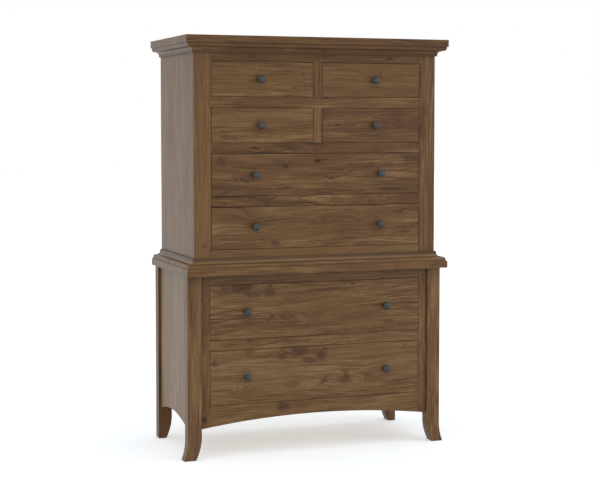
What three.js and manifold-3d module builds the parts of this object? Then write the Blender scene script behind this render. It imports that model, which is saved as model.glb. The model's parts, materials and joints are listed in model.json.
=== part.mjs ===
// A chest on chest: an upper case of six drawers that stands on a lower case of two deep drawers.
// Millimetres. X runs to the viewer's right, Y to the back, Z up. The origin is on the floor, under
// the middle of the boards.
import * as THREE from 'three';
import { mergeVertices } from 'three/addons/utils/BufferGeometryUtils.js';
import Module from 'manifold-3d';

const wasm = await Module();
wasm.setup();

// Top board and waist board: one outline, one moulded edge.
const boardWidth = 1105;
const boardDepth = 541;
const boardThickness = 44;
const boardFascia = 28;
const boardStep = 5;
const thumbnailReach = 7;
const thumbnailFacets = 6;

// Where the cases stand under the boards.
const frontSetback = 44;
const backSetback = 7;
const upperSideSetback = 41;
const legSideSetback = 13;

// Cove mouldings under the top board and at the foot of the upper case.
const coveRadius = 13;
const coveFillet = 7;
const coveLip = 2;
const corniceHeight = 21.5;
const waistHeight = 22;
const coveFacets = 6;

// Case parts.
const sideThickness = 20;
const frameThickness = 22;
const backThickness = 6;
const railHeight = 41.5;
const upperStileWidth = 69.5;
const dividerWidth = 38;
const upperTopRailHeight = 53;
const upperBottomRailHeight = 53.5;

// Drawer openings, from the top of the chest down.
const smallOpening = 138;
const wideOpening = 166.5;
const deepOpening = 216.5;

// Lower case.
const legWidth = 56.5;
const legDepth = 46;
const lowerStileWidth = 36;
const lowerSetback = 10;
const openingFloor = 209;

// Feet: how far each edge of a leg swings out at the floor, and how high up it starts.
const footInnerFlare = 24;
const footInnerHeight = 95;
const footOuterFlare = 16;
const footOuterHeight = 77;

// Arches: the height at the legs and the rise to the middle. A side arch ends higher at the rear leg,
// and its rise is over the line between its two ends.
const frontArchFoot = 120.5;
const frontArchRise = 34;
const sideArchFrontFoot = 116;
const sideArchRearFoot = 130.5;
const sideArchRise = 32;

// Runner frames between the drawers.
const runnerWidth = 86;
const crossMemberDepth = 60;
const centreMemberWidth = 110;
const guideWidth = 22;
const guideHeight = 12;
const dustPanelThickness = 6;
const dustPanelTongue = 8;

// Drawers.
const drawerGap = 1.75;
const drawerFrontThickness = 20;
const boxBackClearance = 14;
const boxWall = 14;
const boxSideClearance = 2.5;
const boxRunClearance = 0.3;
const boxHeadroom = 12;
const boxFloorLift = 12;
const boxFloorThickness = 6;
const boxFloorTongue = 7;

// Knobs. Each place is measured from the middle of the chest, and the lift from the drawer's mid-height.
const knobRadius = 16;
const knobReach = 30;
const knobBaseRadius = 10;
const knobBaseThickness = 2.5;
const knobNeckRadius = 6.5;
const knobRimHeight = 22;
const knobRimThickness = 3.5;
const screwRadius = 2.2;
const screwClearance = 0.4;
const screwHeadRadius = 5;
const screwHeadThickness = 3;
const knobSides = 16;
const holeSides = 12;
const smallKnobPlace = 243;
const wideKnobPlace = 265;
const deepKnobPlace = 297;
const row4KnobLift = 5;

// One named overrun for every cut.
const overrun = 5;

// Places worked out from the sizes above.
const boardFront = -boardDepth / 2;
const boardBack = boardDepth / 2;
const caseFront = boardFront + frontSetback;
const caseBack = boardBack - backSetback;
const panelFront = caseBack - backThickness;
const upperHalf = boardWidth / 2 - upperSideSetback;
const upperInnerHalf = upperHalf - sideThickness;
const upperOpeningHalf = upperHalf - upperStileWidth;
const legHalf = boardWidth / 2 - legSideSetback;
const legInnerHalf = legHalf - legWidth;
const lowerOpeningHalf = legInnerHalf - lowerStileWidth;
const lowerHalf = legHalf - lowerSetback;
const lowerInnerHalf = lowerHalf - sideThickness;
const lowerFront = caseFront + lowerSetback;
const legFrontBack = caseFront + legDepth;
const legRearFront = caseBack - legDepth;
// Every drawer box has the length that fits the lower case, whose drawers sit further back.
const boxLength = panelFront - boxBackClearance - lowerFront - drawerFrontThickness;

// Heights of each opening's floor, row by row, built up from the ground.
const row6Floor = openingFloor;
const row5Floor = row6Floor + deepOpening + railHeight;
const lowerTopRailFloor = row5Floor + deepOpening;
const legHeight = lowerTopRailFloor + railHeight;
const upperFoot = legHeight + boardThickness;
const row4Floor = upperFoot + upperBottomRailHeight;
const row3Floor = row4Floor + wideOpening + railHeight;
const row2Floor = row3Floor + wideOpening + railHeight;
const row1Floor = row2Floor + smallOpening + railHeight;
const upperTopRailFloor = row1Floor + smallOpening;
const upperHead = upperTopRailFloor + upperTopRailHeight;

// Stained hardwood outside, pale unstained hardwood inside, dark pewter knobs.
const stainedWood = new THREE.MeshStandardMaterial({ color: 0x6f563c, roughness: 0.5, metalness: 0 });
const insideWood = new THREE.MeshStandardMaterial({ color: 0xcdb48c, roughness: 0.65, metalness: 0 });
const pewter = new THREE.MeshStandardMaterial({ color: 0x4a4d50, roughness: 0.42, metalness: 0.9 });

const chest = new THREE.Group();

function piece(parent, name, geometry, material) {
  const mesh = new THREE.Mesh(geometry, material);
  mesh.name = name;
  parent.add(mesh);
  return mesh;
}

function block(xLow, xHigh, yLow, yHigh, zLow, zHigh) {
  const geometry = new THREE.BoxGeometry(xHigh - xLow, yHigh - yLow, zHigh - zLow);
  geometry.translate((xLow + xHigh) / 2, (yLow + yHigh) / 2, (zLow + zHigh) / 2);
  return geometry;
}

function outline(points) {
  return new THREE.Shape(points.map(([across, up]) => new THREE.Vector2(across, up)));
}

// An outline drawn in X and Y, given a thickness upwards.
function flat(shape, zLow, zHigh) {
  const geometry = new THREE.ExtrudeGeometry(shape, { depth: zHigh - zLow, bevelEnabled: false });
  return geometry.translate(0, 0, zLow);
}

// An outline drawn in X and Z, given a thickness from front to back.
function upright(shape, yLow, yHigh) {
  const geometry = new THREE.ExtrudeGeometry(shape, { depth: yHigh - yLow, bevelEnabled: false });
  return geometry.rotateX(Math.PI / 2).translate(0, yHigh, 0);
}

// An outline drawn in Y and Z, given a thickness from side to side.
function sideways(shape, xLow, xHigh) {
  const geometry = new THREE.ExtrudeGeometry(shape, { depth: xHigh - xLow, bevelEnabled: false });
  return geometry.rotateX(Math.PI / 2).rotateZ(Math.PI / 2).translate(xLow, 0, 0);
}

function solidOf(geometry) {
  const bare = new THREE.BufferGeometry();
  bare.setAttribute('position', geometry.getAttribute('position'));
  bare.setIndex(geometry.getIndex());
  const merged = mergeVertices(bare);
  const vertProperties = new Float32Array(merged.getAttribute('position').array);
  const triVerts = new Uint32Array(merged.getIndex().array);
  return new wasm.Manifold(new wasm.Mesh({ numProp: 3, vertProperties, triVerts }));
}

function geometryOf(solid) {
  const mesh = solid.getMesh();
  const geometry = new THREE.BufferGeometry();
  geometry.setAttribute('position', new THREE.BufferAttribute(mesh.vertProperties, mesh.numProp));
  geometry.setIndex(new THREE.BufferAttribute(mesh.triVerts, 1));
  geometry.computeVertexNormals();
  return geometry;
}

function joined(first, ...others) {
  const solid = others.reduce((sum, other) => sum.add(solidOf(other)), solidOf(first));
  return geometryOf(solid);
}

function cut(body, tools) {
  const solid = tools.reduce((rest, tool) => rest.subtract(solidOf(tool)), solidOf(body));
  return geometryOf(solid);
}

// A closed skin over a row of rings. Each ring is a loop of points, and the outline of one ring,
// in its own plane, gives the triangles of the two end caps.
function skin(rings, capOutline) {
  const size = rings[0].length;
  const last = (rings.length - 1) * size;
  const index = [];
  for (let start = 0; start < last; start += size) {
    for (let point = 0; point < size; point += 1) {
      const next = (point + 1) % size;
      index.push(start + point, start + next, start + size + next);
      index.push(start + point, start + size + next, start + size + point);
    }
  }
  for (const [a, b, c] of THREE.ShapeUtils.triangulateShape(capOutline, [])) {
    index.push(a, c, b, last + a, last + b, last + c);
  }
  const geometry = new THREE.BufferGeometry();
  geometry.setAttribute('position', new THREE.Float32BufferAttribute(rings.flat(2), 3));
  geometry.setIndex(index);
  geometry.computeVertexNormals();
  return geometry;
}

// The moulded edge of a board as steps of [set in from the edge, height over the thumbnail's face].
function boardEdge() {
  const thumbnailHeight = boardThickness - boardFascia;
  const steps = [];
  for (let facet = 0; facet <= thumbnailFacets; facet += 1) {
    const turn = (facet / thumbnailFacets) * (Math.PI / 2);
    const setIn = boardStep + thumbnailReach * (1 - Math.sin(turn));
    steps.push([setIn, thumbnailHeight * (1 - Math.cos(turn))]);
  }
  steps.push([0, thumbnailHeight]);
  steps.push([0, boardThickness]);
  return steps;
}

// A board whose front and sides are moulded and whose back edge is square.
function mouldedBoard(zOf, steps) {
  const rings = steps.map(([setIn, height]) => {
    const half = boardWidth / 2 - setIn;
    const front = boardFront + setIn;
    const z = zOf(height);
    return [[-half, front, z], [half, front, z], [half, boardBack, z], [-half, boardBack, z]];
  });
  const capOutline = rings[0].map(([x, y]) => new THREE.Vector2(x, y));
  return skin(rings, capOutline);
}

// The cove's section as points of [reach from the case, height from its square foot].
function coveSection(height) {
  const coveFoot = height - coveLip - coveRadius;
  const points = [[0, 0], [coveFillet, 0]];
  for (let facet = 0; facet <= coveFacets; facet += 1) {
    const turn = (facet / coveFacets) * (Math.PI / 2);
    const reach = coveFillet + coveRadius * (1 - Math.cos(turn));
    points.push([reach, coveFoot + coveRadius * Math.sin(turn)]);
  }
  points.push([coveFillet + coveRadius, height]);
  points.push([0, height]);
  return points;
}

// A moulding that runs along one side of the upper case, across its front and back along the
// other side, with a mitre at each front corner.
function mitredMoulding(section) {
  const stations = [
    (reach, z) => [upperHalf + reach, caseBack, z],
    (reach, z) => [upperHalf + reach, caseFront - reach, z],
    (reach, z) => [-upperHalf - reach, caseFront - reach, z],
    (reach, z) => [-upperHalf - reach, caseBack, z],
  ];
  const rings = stations.map((place) => section.map(([reach, z]) => place(reach, z)));
  return skin(rings, section.map(([reach, z]) => new THREE.Vector2(reach, z)));
}

// A runner frame seen from above: a front member between the stiles, the full width of the case
// behind them, and a thin panel in the middle of its height that keeps out dust.
function runnerFrame({ plan, windows, guides, floor, top }) {
  const body = flat(outline(mirroredPlan(plan)), floor, top);
  const openings = windows.map(([xLow, xHigh, yLow, yHigh]) => block(
    xLow,
    xHigh,
    yLow,
    yHigh,
    floor - overrun,
    top + overrun,
  ));
  const middle = (floor + top) / 2;
  const panels = windows.map(([xLow, xHigh, yLow, yHigh]) => block(
    xLow - dustPanelTongue,
    xHigh + dustPanelTongue,
    yLow - dustPanelTongue,
    yHigh + dustPanelTongue,
    middle - dustPanelThickness / 2,
    middle + dustPanelThickness / 2,
  ));
  const strips = guides.map(([xLow, xHigh, yLow, yHigh]) => block(
    xLow,
    xHigh,
    yLow,
    yHigh,
    top - guideHeight,
    top + guideHeight,
  ));
  return joined(cut(body, openings), ...panels, ...strips);
}

// Half of a plan, as corners of [half width, y] from front to back, mirrored into a whole loop.
function mirroredPlan(corners) {
  const left = corners.map(([half, y]) => [-half, y]).reverse();
  return [...corners, ...left];
}

function sideGuides(openingHalf, yLow, yHigh) {
  const outer = openingHalf + guideWidth;
  return [[-outer, -openingHalf, yLow, yHigh], [openingHalf, outer, yLow, yHigh]];
}

// Upper case: everything between the waist board and the top board.
const upperFrameFront = caseFront + frameThickness;
const upperWindowFront = upperFrameFront + crossMemberDepth;
const upperWindowBack = panelFront - crossMemberDepth;
const upperWindowHalf = upperInnerHalf - runnerWidth;
const upperPlan = [[upperInnerHalf, upperFrameFront], [upperInnerHalf, panelFront]];
const railPlan = [[upperOpeningHalf, caseFront], [upperOpeningHalf, upperFrameFront]];
const upperWindow = [[-upperWindowHalf, upperWindowHalf, upperWindowFront, upperWindowBack]];
const centreMemberHalf = centreMemberWidth / 2;
const upperTwinWindows = [
  [-upperWindowHalf, -centreMemberHalf, upperWindowFront, upperWindowBack],
  [centreMemberHalf, upperWindowHalf, upperWindowFront, upperWindowBack],
];
const upperGuides = sideGuides(upperOpeningHalf, upperFrameFront, panelFront);
const centreGuide = [-dividerWidth / 2, dividerWidth / 2, upperFrameFront, panelFront];

function upperCaseFrame(name, windows, guides, floor, top, plan) {
  piece(chest, name, runnerFrame({ plan, windows, guides, floor, top }), insideWood);
}

function buildUpperCase() {
  for (const [side, word] of [[-1, 'left'], [1, 'right']]) {
    const panelLow = Math.min(side * upperHalf, side * upperInnerHalf);
    const panel = block(
      panelLow,
      panelLow + sideThickness,
      upperFrameFront,
      caseBack,
      upperFoot,
      upperHead,
    );
    piece(chest, `upper_side_${word}`, panel, stainedWood);
    const stileLow = Math.min(side * upperHalf, side * upperOpeningHalf);
    const stile = block(
      stileLow,
      stileLow + upperStileWidth,
      caseFront,
      upperFrameFront,
      upperFoot,
      upperHead,
    );
    piece(chest, `upper_stile_${word}`, stile, stainedWood);
  }
  const back = block(-upperInnerHalf, upperInnerHalf, panelFront, caseBack, upperFoot, upperHead);
  piece(chest, 'upper_back_panel', back, insideWood);
  upperRail('upper_top_rail', upperTopRailFloor, upperHead);
  upperRail('upper_bottom_rail', upperFoot, row4Floor);
  const wholePlan = [...railPlan, ...upperPlan];
  const twinGuides = [...upperGuides, centreGuide];
  upperCaseFrame('upper_kicker_frame', upperTwinWindows, [], upperTopRailFloor, upperHead, upperPlan);
  for (const [name, floor, windows, guides] of [
    ['drawer_frame_row_1', row1Floor, upperTwinWindows, twinGuides],
    ['drawer_frame_row_2', row2Floor, upperTwinWindows, twinGuides],
    ['drawer_frame_row_3', row3Floor, upperWindow, upperGuides],
  ]) {
    upperCaseFrame(name, windows, guides, floor - railHeight, floor, wholePlan);
  }
  upperCaseFrame('upper_bottom_frame', upperWindow, upperGuides, upperFoot, row4Floor, upperPlan);
  divider('divider_row_1', row1Floor);
  divider('divider_row_2', row2Floor);
}

function upperRail(name, zLow, zHigh) {
  const rail = block(-upperOpeningHalf, upperOpeningHalf, caseFront, upperFrameFront, zLow, zHigh);
  piece(chest, name, rail, stainedWood);
}

function divider(name, floor) {
  const half = dividerWidth / 2;
  const post = block(-half, half, caseFront, upperFrameFront, floor, floor + smallOpening);
  piece(chest, name, post, stainedWood);
}

// Lower case: everything between the floor and the waist board.
const lowerFrameFront = lowerFront + frameThickness;
const lowerWindowFront = lowerFrameFront + crossMemberDepth;
const lowerWindowBack = panelFront - crossMemberDepth;
const lowerWindowHalf = lowerInnerHalf - runnerWidth;
const lowerWindow = [[-lowerWindowHalf, lowerWindowHalf, lowerWindowFront, lowerWindowBack]];
const lowerGuides = sideGuides(lowerOpeningHalf, lowerFrameFront, panelFront);
const lowerRailPlan = [[lowerOpeningHalf, lowerFront], [lowerOpeningHalf, lowerFrameFront]];
const lowerPlan = [
  [legInnerHalf, lowerFrameFront],
  [legInnerHalf, legFrontBack],
  [lowerInnerHalf, legFrontBack],
  [lowerInnerHalf, legRearFront],
  [legInnerHalf, legRearFront],
  [legInnerHalf, panelFront],
];

// Height of the front arch's lower edge, a parabola that reaches its foot at the legs.
function frontArchHeight(x) {
  const share = x / legInnerHalf;
  return frontArchFoot + frontArchRise * (1 - share * share);
}

function lowerCaseFrame(name, plan, guides, floor, top) {
  piece(chest, name, runnerFrame({ plan, windows: lowerWindow, guides, floor, top }), insideWood);
}

function buildLowerCase() {
  for (const [side, word] of [[-1, 'left'], [1, 'right']]) {
    leg(`leg_front_${word}`, side, caseFront, footOuterFlare);
    leg(`leg_rear_${word}`, side, legRearFront, 0);
    lowerSide(`lower_side_${word}`, side);
    lowerStile(`lower_stile_${word}`, side);
  }
  const backFoot = openingFloor - railHeight;
  const back = block(-legInnerHalf, legInnerHalf, panelFront, caseBack, backFoot, legHeight);
  piece(chest, 'lower_back_panel', back, insideWood);
  const topRail = block(
    -lowerOpeningHalf,
    lowerOpeningHalf,
    lowerFront,
    lowerFrameFront,
    lowerTopRailFloor,
    legHeight,
  );
  piece(chest, 'lower_top_rail', topRail, stainedWood);
  const wholePlan = [...lowerRailPlan, ...lowerPlan];
  lowerCaseFrame('lower_kicker_frame', lowerPlan, [], lowerTopRailFloor, legHeight);
  lowerCaseFrame('drawer_frame_row_5', wholePlan, lowerGuides, row5Floor - railHeight, row5Floor);
  lowerCaseFrame('lower_bottom_frame', lowerPlan, lowerGuides, backFoot, row6Floor);
  piece(chest, 'apron', apron(), stainedWood);
}

// A leg is a flat board whose foot swings outwards. Its two edges end in a parabola.
function leg(name, side, yLow, outerFlare) {
  const shape = new THREE.Shape();
  shape.moveTo(side * legInnerHalf, legHeight);
  shape.lineTo(side * legInnerHalf, footInnerHeight);
  const innerToe = legInnerHalf + footInnerFlare;
  shape.quadraticCurveTo(side * legInnerHalf, footInnerHeight / 2, side * innerToe, 0);
  shape.lineTo(side * (legHalf + outerFlare), 0);
  if (outerFlare > 0) {
    shape.quadraticCurveTo(side * legHalf, footOuterHeight / 2, side * legHalf, footOuterHeight);
  }
  shape.lineTo(side * legHalf, legHeight);
  piece(chest, name, upright(shape, yLow, yLow + legDepth), stainedWood);
}

function lowerSide(name, side) {
  const middle = (legFrontBack + legRearFront) / 2;
  const middleOfFeet = (sideArchFrontFoot + sideArchRearFoot) / 2;
  const shape = new THREE.Shape();
  shape.moveTo(legFrontBack, legHeight);
  shape.lineTo(legFrontBack, sideArchFrontFoot);
  shape.quadraticCurveTo(middle, middleOfFeet + 2 * sideArchRise, legRearFront, sideArchRearFoot);
  shape.lineTo(legRearFront, legHeight);
  const xLow = Math.min(side * lowerHalf, side * lowerInnerHalf);
  piece(chest, name, sideways(shape, xLow, xLow + sideThickness), stainedWood);
}

function lowerStile(name, side) {
  const shape = outline([
    [side * lowerOpeningHalf, frontArchHeight(lowerOpeningHalf)],
    [side * legInnerHalf, frontArchHeight(legInnerHalf)],
    [side * legInnerHalf, legHeight],
    [side * lowerOpeningHalf, legHeight],
  ]);
  piece(chest, name, upright(shape, lowerFront, lowerFrameFront), stainedWood);
}

function apron() {
  const end = frontArchHeight(lowerOpeningHalf);
  const rise = frontArchHeight(0) - end;
  const shape = new THREE.Shape();
  shape.moveTo(-lowerOpeningHalf, end);
  shape.quadraticCurveTo(0, end + 2 * rise, lowerOpeningHalf, end);
  shape.lineTo(lowerOpeningHalf, openingFloor);
  shape.lineTo(-lowerOpeningHalf, openingFloor);
  return upright(shape, lowerFront, lowerFrameFront);
}

// A knob and its screw in one lathe section: dome, rim, neck and base in front of the drawer,
// then the shank through the drawer's front and the head that clamps it from inside.
function knobGeometry() {
  const clamped = drawerFrontThickness + boxWall;
  const neckFoot = knobBaseThickness;
  const rimBack = knobRimHeight - knobRimThickness;
  const dome = knobReach - knobRimHeight;
  const domeFacets = 4;
  const section = [];
  for (let facet = 0; facet <= domeFacets; facet += 1) {
    const turn = (facet / domeFacets) * (Math.PI / 2);
    const radius = knobRadius * Math.sin(turn);
    section.push(new THREE.Vector2(radius, knobRimHeight + dome * Math.cos(turn)));
  }
  section.push(new THREE.Vector2(knobRadius, rimBack));
  section.push(new THREE.Vector2(knobNeckRadius, (rimBack + neckFoot) / 2));
  section.push(new THREE.Vector2(knobNeckRadius, neckFoot));
  section.push(new THREE.Vector2(knobBaseRadius, neckFoot));
  section.push(new THREE.Vector2(knobBaseRadius, 0));
  section.push(new THREE.Vector2(screwRadius, 0));
  section.push(new THREE.Vector2(screwRadius, -clamped));
  section.push(new THREE.Vector2(screwHeadRadius, -clamped));
  section.push(new THREE.Vector2(screwHeadRadius, -clamped - screwHeadThickness));
  section.push(new THREE.Vector2(0, -clamped - screwHeadThickness));
  const geometry = new THREE.LatheGeometry(section.reverse(), knobSides);
  return geometry.rotateX(Math.PI);
}

// A round hole from front to back through the drawer's front and the box's lining.
function screwHole(x, z) {
  const length = drawerFrontThickness + boxWall + 2 * overrun;
  const radius = screwRadius + screwClearance;
  const hole = new THREE.CylinderGeometry(radius, radius, length, holeSides);
  return hole.translate(x, length / 2 - overrun, z);
}

// The drawer's box: four walls and a floor let into them, open at the top.
function drawerBox(openingWidth, openingHeight, holes) {
  const half = openingWidth / 2 - boxSideClearance;
  const front = drawerFrontThickness;
  const back = front + boxLength;
  const foot = boxRunClearance;
  const head = openingHeight - boxHeadroom;
  const innerHalf = half - boxWall;
  const innerFront = front + boxWall;
  const innerBack = back - boxWall;
  const walls = outline([[-half, front], [half, front], [half, back], [-half, back]]);
  walls.holes.push(outline([
    [-innerHalf, innerFront],
    [innerHalf, innerFront],
    [innerHalf, innerBack],
    [-innerHalf, innerBack],
  ]));
  const floorLow = foot + boxFloorLift;
  const floor = block(
    -innerHalf - boxFloorTongue,
    innerHalf + boxFloorTongue,
    innerFront - boxFloorTongue,
    innerBack + boxFloorTongue,
    floorLow,
    floorLow + boxFloorThickness,
  );
  return cut(joined(flat(walls, foot, head), floor), holes);
}

// One drawer, in a group whose origin is the middle of its opening's floor, at the front face.
function drawer({ name, centre, face, floor, width, height, knobs, knobLift }) {
  const group = new THREE.Group();
  group.position.set(centre, face, floor);
  chest.add(group);
  const knobHeight = height / 2 + knobLift;
  const holes = knobs.map(([, place]) => screwHole(place - centre, knobHeight));
  const half = width / 2 - drawerGap;
  const front = block(-half, half, 0, drawerFrontThickness, drawerGap, height - drawerGap);
  piece(group, `${name}_front`, cut(front, holes), stainedWood);
  piece(group, `${name}_box`, drawerBox(width, height, holes), insideWood);
  for (const [word, place] of knobs) {
    const knob = piece(group, `${name}_${word}`, knobGeometry(), pewter);
    knob.position.set(place - centre, 0, knobHeight);
  }
}

function buildSmallDrawers() {
  const width = upperOpeningHalf - dividerWidth / 2;
  const middle = (upperOpeningHalf + dividerWidth / 2) / 2;
  for (const [row, floor] of [[1, row1Floor], [2, row2Floor]]) {
    for (const [side, word] of [[-1, 'left'], [1, 'right']]) {
      drawer({
        name: `drawer_${row}_${word}`,
        centre: side * middle,
        face: caseFront,
        floor,
        width,
        height: smallOpening,
        knobs: [['knob', side * smallKnobPlace]],
        knobLift: 0,
      });
    }
  }
}

function buildWideDrawers() {
  const upper = {
    face: caseFront,
    width: 2 * upperOpeningHalf,
    height: wideOpening,
    place: wideKnobPlace,
  };
  const lower = {
    face: lowerFront,
    width: 2 * lowerOpeningHalf,
    height: deepOpening,
    place: deepKnobPlace,
  };
  const rows = [
    { row: 3, floor: row3Floor, knobLift: 0, ...upper },
    { row: 4, floor: row4Floor, knobLift: row4KnobLift, ...upper },
    { row: 5, floor: row5Floor, knobLift: 0, ...lower },
    { row: 6, floor: row6Floor, knobLift: 0, ...lower },
  ];
  for (const { row, place, ...sizes } of rows) {
    const knobs = [['knob_left', -place], ['knob_right', place]];
    drawer({ name: `drawer_${row}`, centre: 0, knobs, ...sizes });
  }
}

// The top board shows its thumbnail below the fascia, the waist board above it.
function buildBoards() {
  const steps = boardEdge();
  const topBoard = mouldedBoard((height) => upperHead + height, steps);
  piece(chest, 'top_board', topBoard, stainedWood);
  const waistBoard = mouldedBoard((height) => upperFoot - height, steps.slice().reverse());
  piece(chest, 'waist_board', waistBoard, stainedWood);
}

function buildMouldings() {
  const corniceFoot = upperHead - corniceHeight;
  const cornice = coveSection(corniceHeight).map(([reach, z]) => [reach, corniceFoot + z]);
  piece(chest, 'cornice_moulding', mitredMoulding(cornice), stainedWood);
  const waistTop = upperFoot + waistHeight;
  const waist = coveSection(waistHeight).map(([reach, z]) => [reach, waistTop - z]);
  piece(chest, 'waist_moulding', mitredMoulding(waist.reverse()), stainedWood);
}

buildBoards();
buildMouldings();
buildUpperCase();
buildLowerCase();
buildSmallDrawers();
buildWideDrawers();

export default chest;
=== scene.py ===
# %% [markdown]
# # A chest on chest in stained hardwood
# The real piece is a tall cabinet in two parts: an upper case with six drawers that stands on a
# lower case with two deep ones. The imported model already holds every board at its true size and
# place, so this lesson only dresses it: rounded edges, wood that runs the right way in each board,
# turned metal knobs, and quiet studio light. All lengths are in metres.

# %% Load the frame
import json
import math
import random
import bmesh
import bpy
from mathutils import Matrix, Vector

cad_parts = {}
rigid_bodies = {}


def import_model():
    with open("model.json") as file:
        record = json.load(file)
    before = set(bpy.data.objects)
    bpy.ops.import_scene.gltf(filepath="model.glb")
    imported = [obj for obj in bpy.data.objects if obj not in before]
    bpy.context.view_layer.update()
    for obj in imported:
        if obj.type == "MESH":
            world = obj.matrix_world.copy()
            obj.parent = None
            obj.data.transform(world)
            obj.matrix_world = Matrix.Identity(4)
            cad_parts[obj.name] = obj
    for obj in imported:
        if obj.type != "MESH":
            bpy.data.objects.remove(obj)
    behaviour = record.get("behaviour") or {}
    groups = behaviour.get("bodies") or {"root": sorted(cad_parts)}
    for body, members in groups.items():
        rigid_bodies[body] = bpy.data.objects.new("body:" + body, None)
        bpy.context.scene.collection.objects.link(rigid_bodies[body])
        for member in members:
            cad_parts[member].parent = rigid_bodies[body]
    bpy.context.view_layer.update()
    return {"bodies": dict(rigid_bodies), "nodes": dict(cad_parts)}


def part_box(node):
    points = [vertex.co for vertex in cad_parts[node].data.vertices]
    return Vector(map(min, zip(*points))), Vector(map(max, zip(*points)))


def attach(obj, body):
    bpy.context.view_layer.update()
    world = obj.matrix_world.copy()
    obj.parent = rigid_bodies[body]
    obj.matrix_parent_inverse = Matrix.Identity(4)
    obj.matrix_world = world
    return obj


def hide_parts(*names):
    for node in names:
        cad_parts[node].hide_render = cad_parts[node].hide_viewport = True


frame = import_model()
scene = bpy.context.scene
scene.view_settings.view_transform = "Standard"
MM = 0.001

# %% [markdown]
# ## The camera
# The photograph was taken with a long lens, from the left of the chest at about the height of its
# third row, looking 20 degrees to the right and a little down. A camera that only tilts makes the
# uprights lean together. So part of the looking down is done as an architect's camera does it, by
# shifting the lens, which takes most of that leaning out.

# %% Camera
IMAGE_WIDTH_PX = 600
FOCAL_PX = 1444
SHIFT_PX = 40
SENSOR_WIDTH_MM = 36
CAMERA_PLACE = (-2.0601, -5.5838, 1.3139)
CAMERA_TURN_DEGREES = 20.325
CAMERA_TILT_DEGREES = 3.425

lens = bpy.data.cameras.new("view camera")
lens.sensor_width = SENSOR_WIDTH_MM
lens.lens = SENSOR_WIDTH_MM * FOCAL_PX / IMAGE_WIDTH_PX
lens.shift_y = -SHIFT_PX / IMAGE_WIDTH_PX
camera = bpy.data.objects.new("view camera", lens)
camera.location = CAMERA_PLACE
camera.rotation_euler = (math.radians(90 - CAMERA_TILT_DEGREES), 0, -math.radians(CAMERA_TURN_DEGREES))
scene.collection.objects.link(camera)
scene.camera = camera
print("lens", round(lens.lens, 1), "mm, shifted", round(lens.shift_y, 3))

# %% [markdown]
# ## Colour and nodes
# Colours are picked as the sRGB hex codes that a paint chart shows, and the renderer wants linear
# light, so one function converts them. A second small function adds a node, sets it and wires it,
# which keeps each material readable from top to bottom.

# %% Helpers for materials
def linear(hex_code):
    """A paint chart's hex colour as linear light, with full opacity."""
    channels = [int(hex_code[start:start + 2], 16) / 255 for start in (1, 3, 5)]
    light = [c / 12.92 if c <= 0.04045 else ((c + 0.055) / 1.055) ** 2.4 for c in channels]
    return (*light, 1.0)


def add(tree, kind, sockets=None, take=0, **settings):
    """Adds a node, sets its properties, then fills or links its sockets, and gives one of its outputs."""
    node = tree.nodes.new("ShaderNode" + kind)
    for name, value in settings.items():
        setattr(node, name, value)
    for socket, value in (sockets or {}).items():
        if isinstance(value, bpy.types.NodeSocket):
            tree.links.new(value, node.inputs[socket])
        else:
            node.inputs[socket].default_value = value
    return node.outputs[take] if len(node.outputs) else None


def new_material(name):
    material = bpy.data.materials.new(name)
    material.use_nodes = True
    material.node_tree.nodes.clear()
    return material, material.node_tree


print("mid brown in linear light:", [round(c, 3) for c in linear("#70563C")])

# %% [markdown]
# ## Floor, light and backdrop
# The photograph has a white studio: white paper under and behind the chest, light from all round,
# and only a soft shadow between the feet. A white image behind the chest could be painted in, but
# then nothing would stand on it. So a pale world lights the chest from all sides, and two large
# soft lamps give it a bright side: a silk overhead and a window on the right.
# The floor is a real surface, so that it bounces light up and catches the shadow. Studio paper is
# matt: it gives light back evenly to all sides and never shines, which is a plain diffuse shader.
# Where it is seen it also glows a little, because a studio shot has its paper bleached to white.
# It is a little cooler there too, because the warm light that the wood throws on it is taken out.

# %% World and floor
WORLD_LEVEL = 0.66
FLOOR_SIZE = 60.0
FLOOR_GLOW = 0.40
WHITE = "#FFFFFF"
PAPER_AS_IT_LIGHTS = "#F6F6F6"
PAPER_AS_IT_IS_SEEN = "#DBE1E7"


def seen_rays(tree):
    """One where the backdrop is seen, straight or in a shiny or clear surface, and zero where it lights."""
    path = add(tree, "LightPath").node.outputs
    seen = add(tree, "Math", {0: path["Is Camera Ray"], 1: path["Is Glossy Ray"]}, operation="ADD")
    return add(tree, "Math", {0: seen, 1: path["Is Transmission Ray"]}, operation="ADD", use_clamp=True)


world = bpy.data.worlds.new("studio")
scene.world = world
world.use_nodes = True
world.node_tree.nodes.clear()
tree = world.node_tree
seen_white = add(tree, "Background", {"Color": linear(WHITE), "Strength": 1.0})
soft_fill = add(tree, "Background", {"Color": linear(WHITE), "Strength": WORLD_LEVEL})
around = add(tree, "MixShader", {0: seen_rays(tree), 1: soft_fill, 2: seen_white})
add(tree, "OutputWorld", {"Surface": around})

bm = bmesh.new()
bmesh.ops.create_grid(bm, x_segments=1, y_segments=1, size=FLOOR_SIZE / 2)
floor_mesh = bpy.data.meshes.new("floor")
bm.to_mesh(floor_mesh)
bm.free()
floor = bpy.data.objects.new("floor", floor_mesh)
scene.collection.objects.link(floor)

paper, tree = new_material("white studio paper")
floor_mesh.materials.append(paper)
plain = add(tree, "BsdfDiffuse", {"Color": linear(PAPER_AS_IT_LIGHTS)})
shaded = add(tree, "BsdfDiffuse", {"Color": linear(PAPER_AS_IT_IS_SEEN)})
glow = add(tree, "Emission", {"Color": linear(WHITE), "Strength": FLOOR_GLOW})
bleached = add(tree, "AddShader", {0: shaded, 1: glow})
ground = add(tree, "MixShader", {0: seen_rays(tree), 1: plain, 2: bleached})
add(tree, "OutputMaterial", {"Surface": ground})
print("floor", FLOOR_SIZE, "m square")


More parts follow.
